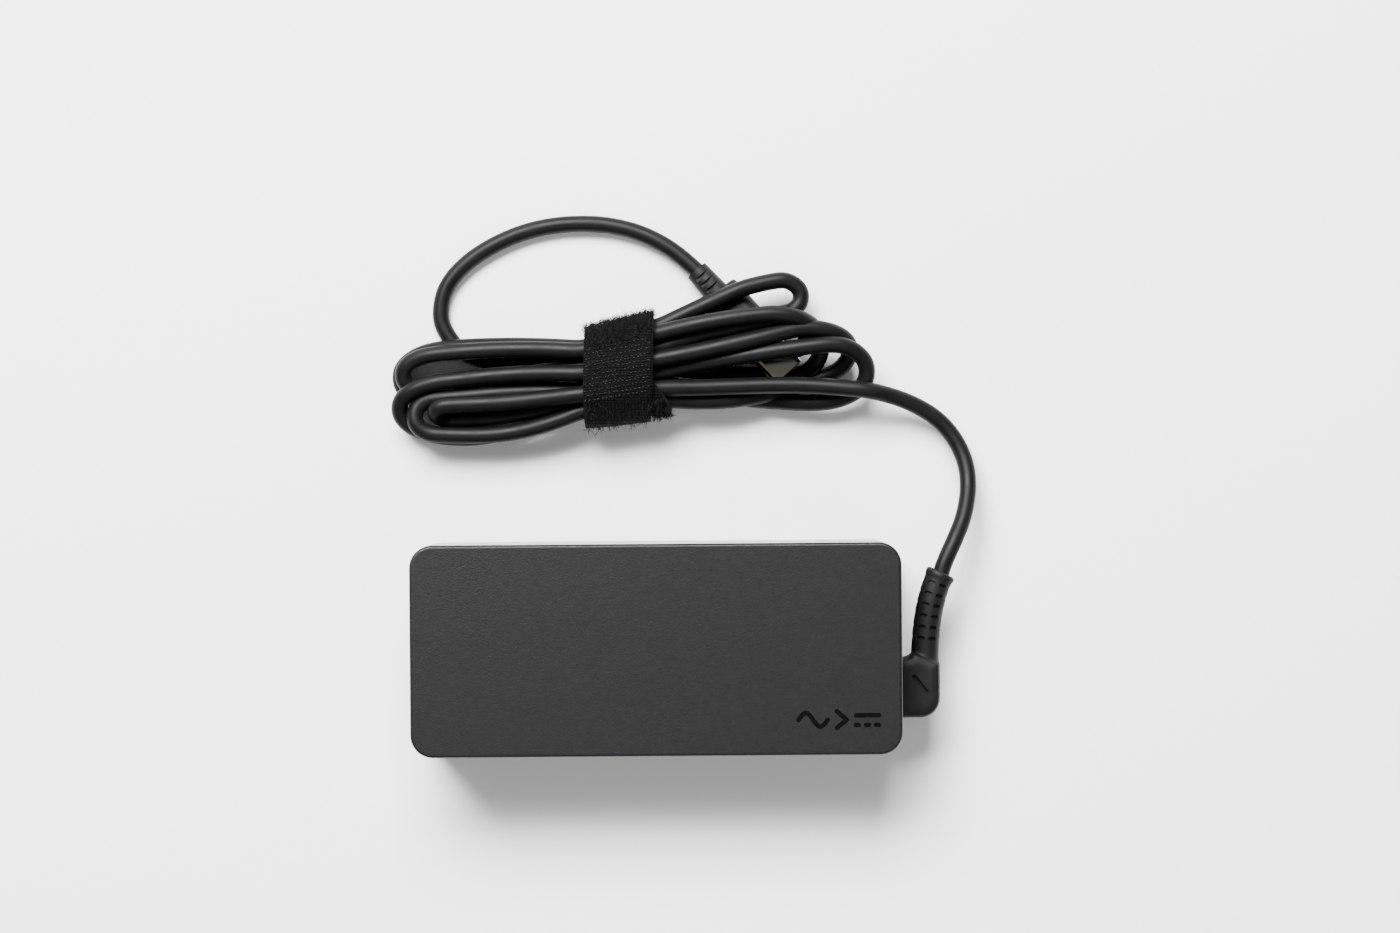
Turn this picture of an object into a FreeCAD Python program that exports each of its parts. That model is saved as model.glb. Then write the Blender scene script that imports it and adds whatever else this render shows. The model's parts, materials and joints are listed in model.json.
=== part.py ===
import FreeCAD, Part
import math
import os
import re
import Sketcher
from FreeCAD import Placement, Rotation, Vector

# Laptop power adapter: a welded plastic case with an AC inlet at its -X end, a moulded
# right-angle cord boot at its +X end, and an output cord that is folded into a hank, held
# by a hook-and-loop tie, and ends in a small connector plug.
#
# Millimetres. The origin is the middle of the case's underside, +X runs along the case
# towards the cord boot, +Y runs across it towards the hank, and +Z is up.

os.makedirs("parts", exist_ok=True)
doc = FreeCAD.newDocument("laptop_power_adapter")

# ---------------------------------------------------------------- driving dimensions

DIMENSIONS = {
    # case
    "case_length": 108.0,
    "case_width": 46.6,
    "case_height": 29.5,
    "case_corner": 5.0,
    "case_edge": 0.7,
    "case_wall": 2.0,
    "parting_height": 14.0,
    "lip_thickness": 0.9,
    "lip_height": 1.2,
    "seam_gap": 0.15,
    # engraved AC to DC mark on the top face
    "mark_centre_x": 40.1,
    "mark_centre_y": -15.5,
    "mark_height": 7.0,
    "mark_stroke": 1.0,
    "mark_depth": 0.35,
    # recess and blank label on the underside
    "label_length": 78.0,
    "label_width": 36.0,
    "label_recess": 0.4,
    "label_thickness": 0.15,
    # AC inlet, a three-pin cloverleaf socket
    "inlet_width": 17.6,
    "inlet_height": 14.6,
    "inlet_depth": 18.0,
    "inlet_middle": 14.75,
    "socket_depth": 12.0,
    "lobe_radius": 3.3,
    "live_spacing": 8.0,
    "live_rise": 1.9,
    "earth_drop": 2.8,
    "pin_radius": 1.2,
    "pin_straight": 8.2,
    "pin_tail": 1.6,
    "pin_tail_length": 8.0,
    # circuit board and the parts on it
    "board_length": 80.0,
    "board_width": 38.0,
    "board_thickness": 1.6,
    "board_underside": 6.0,
    "bulk_x": -17.0,
    "bulk_y": -9.8,
    "bulk_radius": 8.6,
    "bulk_rise": 10.6,
    "bulk_length": 25.0,
    "vent_radius": 2.0,
    "vent_depth": 0.6,
    "output_can_x": 41.2,
    "output_can_y": -15.0,
    "output_can_pitch": 7.4,
    "output_can_radius": 3.2,
    "output_can_height": 15.0,
    "choke_x": -22.5,
    "choke_y": 6.0,
    "choke_radius": 7.4,
    "choke_bore": 3.6,
    "choke_height": 7.0,
    "choke_winding": 1.0,
    "choke_gap": 5.0,
    "transformer_x": 22.5,
    "transformer_y": -7.0,
    "transformer_length": 17.0,
    "transformer_width": 22.0,
    "transformer_height": 15.0,
    "transformer_yoke": 2.5,
    "transformer_leg": 3.4,
    "coil_radius": 7.9,
    "coil_gap": 0.1,
    "board_start": -34.5,
    # heat spreaders and insulating sheets
    "spreader_length": 84.0,
    "spreader_width": 38.6,
    "spreader_thickness": 0.4,
    "sheet_gap": 0.1,
    # moulded cord boot
    "boot_reach": 9.0,
    "boot_width": 13.8,
    "boot_thickness": 10.4,
    "boot_middle_y": -9.5,
    "boot_middle_height": 13.0,
    "boot_neck_width": 9.0,
    "boot_neck_height": 7.4,
    "boot_flange": 2.4,
    "boot_corner": 4.4,
    "sleeve_foot_radius": 3.45,
    "sleeve_tip_radius": 3.2,
    # cord
    "cord_diameter": 3.8,
    # connector plug
    "plug_start_x": 14.17,
    "plug_start_y": 79.53,
    "plug_start_height": 3.35,
    "plug_turn": -48.6,
    "plug_rise": 4.0,
    "overmould_length": 17.65,
    "overmould_width": 10.4,
    "overmould_height": 6.2,
    "shell_length": 6.65,
    "shell_width": 8.34,
    "shell_height": 2.56,
    "shell_wall": 0.3,
    "tongue_length": 4.6,
    "tongue_width": 6.6,
    "tongue_thickness": 0.7,
    "relief_length": 7.0,
    "relief_foot": 5.9,
    "relief_tip": 5.2,
    # hank and its tie
    "tie_thickness": 1.2,
    "tie_low_side": 52.7,
    "tie_high_side": 72.9,
    "tie_inner_height": 11.6,
    "tie_gap": 0.3,
    "tie_flap": 4.6,
    "left_lobe_height": 11.4,
    "right_lobe_height": 15.6,
    "plug_clearance": 0.4,
}

sheet = doc.addObject("Spreadsheet::Sheet", "Dimensions")
for row, (alias, number) in enumerate(DIMENSIONS.items(), start=1):
    sheet.set("A%d" % row, alias)
    sheet.set("B%d" % row, str(number))
    sheet.setAlias("B%d" % row, alias)
doc.recompute()

NODES = []


def size(alias):
    """The number in the sheet's cell of that name."""
    return float(sheet.get(alias))


def cells(expression):
    """The expression with each alias in it pointed at the sheet."""
    def point(word):
        return "Dimensions." + word.group() if word.group() in DIMENSIONS else word.group()
    return re.sub(r"[a-z_]+", point, str(expression))


def bind(item, **expressions):
    """Bind the item's properties to the sheet; a double underscore stands for a dot."""
    for name, expression in expressions.items():
        item.setExpression(name.replace("__", "."), cells(expression))


def place(item, corner):
    """Bind the item's position to three expressions."""
    for axis, expression in zip("xyz", corner):
        item.setExpression("Placement.Base." + axis, cells(expression))


def node(item, label):
    """Name the finished sub-part."""
    item.Label = label
    NODES.append(item)
    return item


# ---------------------------------------------------------------- primitives

def box(name, sizes, corner):
    """A block from its lowest corner."""
    item = doc.addObject("Part::Box", name)
    bind(item, Length=sizes[0], Width=sizes[1], Height=sizes[2])
    place(item, corner)
    return item


def centred_box(name, sizes, centre, foot):
    """A block from the middle of its underside."""
    corner = ("%s - (%s) / 2" % (centre[0], sizes[0]), "%s - (%s) / 2" % (centre[1], sizes[1]), foot)
    return box(name, sizes, corner)


TURNS = {"x": Rotation(Vector(0, 1, 0), 90), "y": Rotation(Vector(1, 0, 0), -90), "z": Rotation()}


def cylinder(name, radius, height, foot, axis="z"):
    """A cylinder from the middle of its starting face, along a positive axis."""
    item = doc.addObject("Part::Cylinder", name)
    item.Placement = Placement(Vector(), TURNS[axis])
    bind(item, Radius=radius, Height=height)
    place(item, foot)
    return item


def cut(name, base, tool):
    item = doc.addObject("Part::Cut", name)
    item.Base = base
    item.Tool = tool
    return item


def fuse(name, shapes):
    item = doc.addObject("Part::MultiFuse", name)
    item.Shapes = shapes
    return item


def feature(name, shape, placement=Placement()):
    """A sub-part whose shape comes from Part's own functions."""
    item = doc.addObject("Part::Feature", name)
    item.Shape = shape
    item.Placement = placement
    return item


# ---------------------------------------------------------------- sketched bodies

def new_body(name):
    return doc.addObject("PartDesign::Body", name)


def origin_plane(body, role):
    return next(item for item in body.Origin.OriginFeatures if item.Role == role)


def rectangle(body, name, sizes, height):
    """A rectangle about the Z axis, at a height, on the body's XY plane."""
    sketch = body.newObject("Sketcher::SketchObject", name)
    sketch.AttachmentSupport = [(origin_plane(body, "XY_Plane"), "")]
    sketch.MapMode = "FlatFace"
    sketch.setExpression("AttachmentOffset.Base.z", cells(height))
    half_x, half_y = 10.0, 5.0
    corners = [Vector(-half_x, -half_y), Vector(half_x, -half_y), Vector(half_x, half_y), Vector(-half_x, half_y)]
    for number, corner in enumerate(corners):
        sketch.addGeometry(Part.LineSegment(corner, corners[(number + 1) % 4]), False)
    for number in range(4):
        sketch.addConstraint(Sketcher.Constraint("Coincident", number, 2, (number + 1) % 4, 1))
    for number, kind in enumerate(("Horizontal", "Vertical", "Horizontal", "Vertical")):
        sketch.addConstraint(Sketcher.Constraint(kind, number))
    for number, kind, extent in ((0, "DistanceX", sizes[0]), (1, "DistanceY", sizes[1])):
        index = sketch.addConstraint(Sketcher.Constraint(kind, number, 1, number, 2, 2 * half_y))
        sketch.setExpression("Constraints[%d]" % index, cells(extent))
    origin_point = (-1, 1)
    sketch.addConstraint(Sketcher.Constraint("Symmetric", 0, 1, 1, 2, *origin_point))
    return sketch


def pad(body, sketch, length, name):
    item = body.newObject("PartDesign::Pad", name)
    item.Profile = sketch
    bind(item, Length=length)
    doc.recompute()
    return item


def pocket_up(body, sketch, depth, name):
    """A pocket that runs upwards from its sketch."""
    item = body.newObject("PartDesign::Pocket", name)
    item.Profile = sketch
    item.Reversed = True
    bind(item, Length=depth)
    doc.recompute()
    return item


def pocket_down(body, sketch, depth, name):
    """A pocket that runs downwards from its sketch."""
    item = body.newObject("PartDesign::Pocket", name)
    item.Profile = sketch
    bind(item, Length=depth)
    doc.recompute()
    return item


def edges_where(shape, test):
    return ["Edge%d" % (number + 1) for number, edge in enumerate(shape.Edges) if test(edge)]


def upright(edge):
    ends = [vertex.Point for vertex in edge.Vertexes]
    if len(ends) != 2:
        return False
    return (ends[0] - ends[1]).cross(Vector(0, 0, 1)).Length < 1e-6


def round_edges(body, base, edges, radius, name):
    item = body.newObject("PartDesign::Fillet", name)
    item.Base = (base, edges)
    bind(item, Radius=radius)
    doc.recompute()
    return item


def rounded_block(name, sizes, foot, height, corner, edge=None, edge_height=None):
    """A padded rectangle with rounded upright edges and, if asked, a rounded rim."""
    body = new_body(name)
    outline = rectangle(body, name + "_outline", sizes, foot)
    block = pad(body, outline, height, name + "_pad")
    block = round_edges(body, block, edges_where(block.Shape, upright), corner, name + "_corners")
    if edge:
        level = edge_height
        rim = edges_where(block.Shape, lambda line: abs(line.BoundBox.ZMin - level) < 1e-6)
        round_edges(body, block, rim, edge, name + "_rim")
    return body


def shell_body(name, foot, height, cavity_foot, edge_height):
    """Half of the case: a rounded block with a cavity that opens at the parting line."""
    body = rounded_block(name, ("case_length", "case_width"), foot, height, "case_corner", "case_edge",
                         edge_height)
    inner = ("case_length - 2 * case_wall", "case_width - 2 * case_wall")
    cavity = rectangle(body, name + "_cavity", inner, cavity_foot)
    return body, cavity


def frame_ring(name, outset, inset, foot, height):
    """A flat rectangular ring, by its two insets from the outside of the case."""
    sides = []
    for part_name, margin in (("_outer", outset), ("_inner", inset)):
        sizes = ("case_length - 2 * (%s)" % margin, "case_width - 2 * (%s)" % margin, height)
        sides.append(centred_box(name + part_name, sizes, ("0", "0"), foot))
    return cut(name, *sides)


def windows(name, clearance):
    """The openings that the AC inlet and the neck of the cord boot pass through."""
    inlet = box(name + "_inlet",
                ("inlet_depth", "inlet_width + 2 * %s" % clearance, "inlet_height + 2 * %s" % clearance),
                ("-case_length / 2 - 1", "-inlet_width / 2 - %s" % clearance,
                 "inlet_middle - inlet_height / 2 - %s" % clearance))
    neck = box(name + "_neck",
               ("2 * case_wall + 1", "boot_neck_width + 2 * %s" % clearance,
                "boot_neck_height + 2 * %s" % clearance),
               ("case_length / 2 - 2 * case_wall", "boot_middle_y - boot_neck_width / 2 - %s" % clearance,
                "boot_middle_height - boot_neck_height / 2 - %s" % clearance))
    return fuse(name, [inlet, neck])


def stroke(points, foot, height):
    """A raised line of the mark's stroke width with round ends, through the points."""
    radius = size("mark_stroke") / 2
    pieces = []
    for start, end in zip(points, points[1:]):
        along = end - start
        bar = Part.makeBox(along.Length, 2 * radius, height, Vector(0, -radius, 0))
        bar.Placement = Placement(start + Vector(0, 0, foot), Rotation(Vector(1, 0, 0), along))
        pieces.append(bar)
    for point in points:
        pieces.append(Part.makeCylinder(radius, height, point + Vector(0, 0, foot)))
    return pieces


def mark_shape():
    """The engraved mark: a wave for AC, an arrow head and a bar over three dashes for DC."""
    middle = Vector(size("mark_centre_x"), size("mark_centre_y"), 0)
    tall = size("mark_height")
    foot = size("case_height") - size("mark_depth")
    height = 2 * size("mark_depth")
    wave_length, wave_steps = 6.4, 12
    wave_start = middle + Vector(-9.0, 0, 0)
    wave = [wave_start + Vector(wave_length * step / wave_steps,
                                0.22 * tall * math.sin(2 * math.pi * step / wave_steps), 0)
            for step in range(wave_steps + 1)]
    pieces = stroke(wave, foot, height)
    head_back = middle + Vector(-0.6, 0, 0)
    head = [head_back + Vector(0, 0.26 * tall, 0), head_back + Vector(2.2, 0, 0),
            head_back + Vector(0, -0.26 * tall, 0)]
    pieces += stroke(head, foot, height)
    bar_start = middle + Vector(3.6, 0.13 * tall, 0)
    pieces += stroke([bar_start, bar_start + Vector(5.0, 0, 0)], foot, height)
    dash_length, dash_step = 0.6, 2.2
    for number in range(3):
        dash_start = middle + Vector(3.6 + number * dash_step, -0.17 * tall, 0)
        pieces += stroke([dash_start, dash_start + Vector(dash_length, 0, 0)], foot, height)
    return pieces[0].multiFuse(pieces[1:])


def make_covers():
    body, cavity = shell_body("upper_shell", "parting_height", "case_height - parting_height",
                              "parting_height", size("case_height"))
    pocket_up(body, cavity, "case_height - parting_height - case_wall", "upper_hollow")
    mark = feature("mark_cutter", mark_shape())
    tools = fuse("top_cover_cutters", [windows("top_windows", "seam_gap"), mark])
    node(cut("top_cover_cut", body, tools), "top_cover")

    top = "parting_height - seam_gap"
    body, cavity = shell_body("lower_shell", "0", top, top, 0.0)
    pocket_down(body, cavity, top + " - case_wall", "lower_hollow")
    root = frame_ring("lip_root", "case_wall - 0.3", "case_wall + seam_gap + lip_thickness",
                      "parting_height - seam_gap - 2.5", "2.5")
    lip = frame_ring("lip", "case_wall + seam_gap", "case_wall + seam_gap + lip_thickness",
                     "parting_height - seam_gap - 0.5", "lip_height + 0.5")
    shell = fuse("lower_shell_with_lip", [body, root, lip])
    recess = centred_box("label_recess_cutter", ("label_length", "label_width", "label_recess"),
                         ("0", "0"), "0")
    tools = fuse("bottom_cover_cutters", [windows("bottom_windows", "seam_gap"), recess])
    node(cut("bottom_cover_cut", shell, tools), "bottom_cover")

    label_sizes = ("label_length - 1", "label_width - 1")
    label = rounded_block("label_block", label_sizes, "label_recess - label_thickness", "label_thickness", 1.5)
    node(label, "rating_label")


# ---------------------------------------------------------------- AC inlet

PINS = {
    "line_pin": ("live_spacing / 2", "inlet_middle + live_rise"),
    "neutral_pin": ("-live_spacing / 2", "inlet_middle + live_rise"),
    "earth_pin": ("0", "inlet_middle - earth_drop"),
}


def make_inlet():
    face = "-case_length / 2"
    block = box("inlet_block", ("inlet_depth - 0.2", "inlet_width", "inlet_height"),
                (face, "-inlet_width / 2", "inlet_middle - inlet_height / 2"))
    hollows = [cylinder("lobe_" + name, "lobe_radius", "socket_depth", (face, side, rise), "x")
               for name, (side, rise) in PINS.items()]
    hollows.append(box("lobe_middle", ("socket_depth", "live_spacing", "4.9"),
                       (face, "-live_spacing / 2", "inlet_middle - 1.5")))
    tails = [pin_tail("tail_slot_" + name, side, rise) for name, (side, rise) in PINS.items()]
    node(cut("inlet_cut", block, fuse("inlet_hollows", hollows + tails)), "ac_inlet_housing")
    for name, (side, rise) in PINS.items():
        floor = "-case_length / 2 + socket_depth"
        shaft = cylinder(name + "_shaft", "pin_radius", "pin_straight", (floor + " - pin_straight", side, rise), "x")
        tip = doc.addObject("Part::Cone", name + "_tip")
        tip.Placement = Placement(Vector(), TURNS["x"])
        bind(tip, Radius1="pin_radius / 2", Radius2="pin_radius", Height="0.8")
        place(tip, (floor + " - pin_straight - 0.8", side, rise))
        node(fuse(name + "_fuse", [shaft, tip, pin_tail(name + "_tail", side, rise)]), name)


def pin_tail(name, side, rise):
    return box(name, ("pin_tail_length", "pin_tail", "pin_tail"),
               ("-case_length / 2 + socket_depth", side + " - pin_tail / 2", rise + " - pin_tail / 2"))


# ---------------------------------------------------------------- electronics

def make_heat_spreaders():
    levels = {
        "lower_heat_spreader": ("case_wall + sheet_gap", "spreader_thickness"),
        "lower_insulating_sheet": ("case_wall + spreader_thickness + 2 * sheet_gap", "spreader_thickness / 2"),
        "upper_heat_spreader": ("case_height - case_wall - sheet_gap - spreader_thickness", "spreader_thickness"),
        "upper_insulating_sheet": ("case_height - case_wall - 2 * (sheet_gap + spreader_thickness)",
                                   "spreader_thickness / 2"),
    }
    for name, (foot, thickness) in levels.items():
        plate = centred_box(name + "_plate", ("spreader_length", "spreader_width", thickness), ("5", "0"), foot)
        node(plate, name)


def make_board():
    board = box("board_plate", ("board_length", "board_width", "board_thickness"),
                ("board_start", "-board_width / 2", "board_underside"))
    slot = box("isolation_slot", ("1.2", "12", "4"), ("8", "6", "board_underside - 1"))
    node(cut("board_cut", board, slot), "main_board")


# Boxes that stand on the board: length, width, height, and the middle's x and y.
BLOCKS = {
    "x_capacitor": (15.0, 6.0, 13.0, -24.0, -13.5),
    "bridge_rectifier": (4.0, 11.0, 10.0, -12.5, 11.5),
    "primary_mosfet": (10.0, 4.4, 9.2, 0.5, 8.0),
    "primary_heatsink": (17.0, 1.6, 16.0, 0.5, 11.3),
    "optocoupler": (4.6, 6.4, 3.4, 8.5, -1.5),
    "pd_controller_board": (1.2, 15.0, 11.0, 43.0, 9.0),
    "output_heatsink": (1.6, 14.0, 15.0, 36.0, -10.5),
}
# Upright cylinders on the board: radius, height, and the middle's x and y.
DRUMS = {
    "fuse": (2.6, 9.0, -31.0, 14.5),
    "thermistor": (3.6, 3.2, -12.0, 0.6),
    "y_capacitor": (3.4, 4.0, 4.5, 16.0),
    "output_choke": (4.6, 9.0, 31.5, 12.5),
}


def make_parts_on_board():
    top = "board_underside + board_thickness"
    for name, (length, width, height, x, y) in BLOCKS.items():
        corner = 0.5 if min(length, width) < 3 else 0.9
        block = rounded_block(name + "_block", (length, width), top, height, corner)
        block.Placement.Base = Vector(x, y, 0)
        node(block, name)
    for name, (radius, height, x, y) in DRUMS.items():
        node(cylinder(name + "_drum", radius, height, (x, y, top)), name)
    chip = box("chip_block", ("0.9", "4", "4"), ("43.6", "7", "board_underside + board_thickness + 4"))
    node(chip, "pd_chip")


BOARD_TOP = "board_underside + board_thickness"


def make_bulk_capacitor():
    middle = "board_underside + bulk_rise"
    can = cylinder("capacitor_can", "bulk_radius", "bulk_length", ("bulk_x", "bulk_y", middle), "x")
    vent_x = "bulk_x + bulk_length - vent_depth"
    vent = cylinder("capacitor_vent", "vent_radius", "vent_depth + 0.4", (vent_x, "bulk_y", middle), "x")
    node(cut("capacitor_cut", can, vent), "bulk_capacitor")
    cans = [cylinder("output_can_%d" % number, "output_can_radius", "output_can_height",
                     ("output_can_x", "output_can_y + %d * output_can_pitch" % number, BOARD_TOP))
            for number in range(2)]
    node(fuse("output_cans", cans), "output_capacitors")


def winding_gap(name):
    return centred_box(name, ("choke_gap", "2 * choke_radius + 2", "choke_height"), ("choke_x", "choke_y"), BOARD_TOP)


def make_choke():
    """A ring core with two windings on it."""
    low = ("choke_x", "choke_y", BOARD_TOP)
    middle = ("choke_x", "choke_y", BOARD_TOP + " + choke_winding")
    core_height = "choke_height - 2 * choke_winding"
    outer, bore = "choke_radius - choke_winding", "choke_bore"
    ring = cut("core_ring", cylinder("core_outer", outer, core_height, middle),
               cylinder("core_inner", bore, core_height, middle))
    node(ring, "choke_core")
    wound = cut("winding_ring", cylinder("winding_outer", "choke_radius", "choke_height", low),
                cylinder("winding_inner", "choke_bore - choke_winding", "choke_height", low))
    space = fuse("winding_space", [winding_gap("winding_gap"), cylinder("core_room", outer, core_height, middle)])
    inside = cut("bore_outside_gap", cylinder("core_bore", bore, core_height, middle), winding_gap("bore_gap"))
    node(cut("winding_cut", wound, cut("winding_room", space, inside)), "choke_windings")


def make_transformer():
    """A core of two outer legs, a yoke each side and a middle leg inside the winding."""
    foot = BOARD_TOP + " + 1"
    place_xy = ("transformer_x", "transformer_y")
    tunnel_foot = foot + " + transformer_yoke"
    tunnel_height = "transformer_height - 2 * transformer_yoke"
    block = centred_box("core_block", ("transformer_length", "transformer_width", "transformer_height"),
                        place_xy, foot)
    tunnel = centred_box("core_tunnel", ("transformer_length", "transformer_width - 6", tunnel_height),
                         place_xy, tunnel_foot)
    leg = cylinder("core_leg", "transformer_leg", tunnel_height, (*place_xy, tunnel_foot))
    node(fuse("core_fuse", [cut("core_hollow", block, tunnel), leg]), "transformer_core")
    coil_height = tunnel_height + " - 2 * coil_gap"
    coil_foot = (*place_xy, tunnel_foot + " + coil_gap")
    coil = cylinder("coil_outer", "coil_radius", coil_height, coil_foot)
    hole = cylinder("coil_hole", "transformer_leg + coil_gap", coil_height, coil_foot)
    node(cut("coil_cut", coil, hole), "transformer_winding")


# ---------------------------------------------------------------- cord boot

BOOT_TILT = 11.5
BOOT_FOOT = (60.0, -3.0)
SLEEVE_LENGTH = 19.5


def boot_direction():
    angle = math.radians(90 - BOOT_TILT)
    return Vector(math.cos(angle), math.sin(angle), 0)


def boot_tip():
    """The middle of the sleeve's open end, where the cord leaves it."""
    foot = Vector(BOOT_FOOT[0], BOOT_FOOT[1], size("boot_middle_height"))
    return foot + boot_direction() * SLEEVE_LENGTH


def sleeve_slot(reach, side, number):
    """One flex slot across the top or the underside of the sleeve."""
    slot_width, slot_length, slot_depth = 1.0, 2.0, 0.9
    radius = size("sleeve_foot_radius")
    block = Part.makeBox(slot_length, slot_width, 2 * slot_depth, Vector(-slot_length / 2, -slot_width / 2, 0))
    across = 1.5 if number % 2 else -1.5
    block.translate(Vector(across, reach, side * (radius - slot_depth / 2) - slot_depth))
    block.Placement = Placement(Vector(BOOT_FOOT[0], BOOT_FOOT[1], size("boot_middle_height")),
                                Rotation(Vector(0, 0, 1), -BOOT_TILT)).multiply(block.Placement)
    return block


def make_boot():
    wall_end = size("case_length") / 2
    middle_y, middle_z = size("boot_middle_y"), size("boot_middle_height")
    tall, wide, reach = size("boot_thickness"), size("boot_width"), size("boot_reach")
    boss = Part.makeBox(reach, wide, tall, Vector(wall_end, middle_y - wide / 2, middle_z - tall / 2))
    outer = [edge for edge in boss.Edges if upright(edge) and edge.CenterOfMass.x > wall_end + 1
             and edge.CenterOfMass.y < middle_y]
    boss = boss.makeFillet(size("boot_corner"), outer)
    rim = [edge for edge in boss.Edges if abs(abs(edge.CenterOfMass.z - middle_z) - tall / 2) < 1e-6
           and edge.BoundBox.XMax > wall_end + 0.5]
    boss = boss.makeFillet(1.6, rim)
    neck_wide, neck_tall = size("boot_neck_width"), size("boot_neck_height")
    wall = size("case_wall")
    neck = Part.makeBox(wall, neck_wide, neck_tall,
                        Vector(wall_end - wall, middle_y - neck_wide / 2, middle_z - neck_tall / 2))
    flange_wide, flange_tall = neck_wide + 3.0, neck_tall + 3.0
    inside = wall + size("seam_gap") + size("lip_thickness") + size("seam_gap") + size("boot_flange")
    flange = Part.makeBox(size("boot_flange"), flange_wide, flange_tall,
                          Vector(wall_end - inside, middle_y - flange_wide / 2, middle_z - flange_tall / 2))
    link_length = inside - wall - size("boot_flange")
    link = Part.makeBox(link_length, neck_wide, neck_tall,
                        Vector(wall_end - wall - link_length, middle_y - neck_wide / 2, middle_z - neck_tall / 2))
    foot = Vector(BOOT_FOOT[0], BOOT_FOOT[1], middle_z)
    sleeve = Part.makeCone(size("sleeve_foot_radius"), size("sleeve_tip_radius"), SLEEVE_LENGTH, foot,
                           boot_direction())
    knuckle = Part.makeSphere(size("sleeve_foot_radius"), foot)
    shape = boss.multiFuse([neck, link, flange, sleeve, knuckle])
    slots = [sleeve_slot(6.6 + 2.15 * row, side, column)
             for row in range(6) for column in range(2) for side in (1, -1)]
    shape = shape.cut(slots)
    node(feature("boot", shape), "cord_boot")


# ---------------------------------------------------------------- connector plug

def plug_frame():
    """The plug's own frame: its X axis runs from the strain relief to the shell's mouth."""
    start = Vector(size("plug_start_x"), size("plug_start_y"), size("plug_start_height"))
    turn = Rotation(Vector(0, 0, 1), size("plug_turn"))
    rise = Rotation(Vector(0, 1, 0), -size("plug_rise"))
    return Placement(start, turn.multiply(rise))


def stadium(start, length, width, height):
    """A bar along X with a round-ended section, wider than it is tall."""
    radius = height / 2
    straight = width / 2 - radius
    points = [Vector(start, -straight, -radius), Vector(start, straight, -radius),
              Vector(start, straight, radius), Vector(start, -straight, radius)]
    ends = [Vector(start, straight + radius, 0), Vector(start, -straight - radius, 0)]
    outline = Part.Wire([Part.LineSegment(points[0], points[1]).toShape(),
                         Part.Arc(points[1], ends[0], points[2]).toShape(),
                         Part.LineSegment(points[2], points[3]).toShape(),
                         Part.Arc(points[3], ends[1], points[0]).toShape()])
    return Part.Face(outline).extrude(Vector(length, 0, 0))


def make_plug():
    length, tall, wide = size("overmould_length"), size("overmould_height"), size("overmould_width")
    body = stadium(0, length, wide, tall - 0.001)
    end_edges = [edge for edge in body.Edges if edge.BoundBox.XLength < 1e-6]
    body = body.makeFillet(0.8, end_edges)
    socket = 5.0
    shell_wide, shell_tall, wall = size("shell_width"), size("shell_height"), size("shell_wall")
    body = body.cut(stadium(length - socket, socket + 1, shell_wide, shell_tall))
    node(feature("overmould", body, plug_frame()), "plug_overmould")

    shell_long = socket + size("shell_length")
    shell = stadium(length - socket, shell_long, shell_wide, shell_tall)
    shell = shell.cut(stadium(length - socket, shell_long + 1, shell_wide - 2 * wall, shell_tall - 2 * wall))
    node(feature("shell", shell, plug_frame()), "plug_shell")

    tongue_long, tongue_wide = socket + size("tongue_length"), size("tongue_width")
    tongue_tall = size("tongue_thickness")
    tongue = Part.makeBox(tongue_long, tongue_wide, tongue_tall,
                          Vector(length - socket, -tongue_wide / 2, -tongue_tall / 2))
    rear = Part.makeBox(4.0, tongue_wide, shell_tall - 2 * wall,
                        Vector(length - socket, -tongue_wide / 2, -shell_tall / 2 + wall))
    contacts = [Part.makeBox(4.2, 0.25, 0.15, Vector(length, -2.75 + 0.5 * number - 0.125, side))
                for number in range(12) for side in (tongue_tall / 2, -tongue_tall / 2 - 0.15)]
    node(feature("tongue", tongue.fuse(rear), plug_frame()), "plug_tongue")
    node(feature("contacts", Part.makeCompound(contacts), plug_frame()), "plug_contacts")

    relief_long, foot, tip = size("relief_length"), size("relief_foot") / 2, size("relief_tip") / 2
    relief = Part.makeCone(tip, foot, relief_long, Vector(-relief_long, 0, 0), Vector(1, 0, 0))
    slots = []
    for number in range(3):
        for side in (1, -1):
            groove = Part.makeBox(0.8, 3.4, 1.4, Vector(-relief_long + 1.6 + 1.75 * number, -1.7, -0.7))
            groove.translate(Vector(0, 0, side * (foot - 0.2)))
            slots.append(groove)
    node(feature("relief", relief.cut(slots), plug_frame()), "plug_strain_relief")


def relief_tip():
    """The middle of the strain relief's small end, where the cord leaves it."""
    return plug_frame().multVec(Vector(-size("relief_length"), 0, 0))


# ---------------------------------------------------------------- cord

# The free run's points, from the boot's open end over to the hank, and the tail's points,
# from the hank to the plug's strain relief. Each run is joined to the next by one arc.
FREE_RUN = [(65.0, 19.1, 12.9), (66.9, 22.9, 12.0), (69.5, 28.6, 9.7), (70.8, 35.2, 6.8), (70.3, 40.9, 5.0),
            (67.8, 46.4, 4.2), (63.9, 50.8, 4.5), (58.5, 54.0, 5.7), (53.0, 56.0, 7.2)]
FREE_END = (48.5, 57.0, 8.3)
TAIL_START = (-47.3, 69.0, 1.9)
TAIL = [(-49.1, 74.6, 1.9), (-48.2, 80.6, 1.9), (-44.8, 85.4, 1.9), (-39.1, 89.8, 1.9), (-31.4, 93.5, 1.9),
        (-23.3, 95.5, 1.9), (-14.4, 95.8, 2.0), (-7.8, 94.9, 2.1), (-1.6, 92.9, 2.3), (5.3, 88.9, 2.6)]


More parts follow.
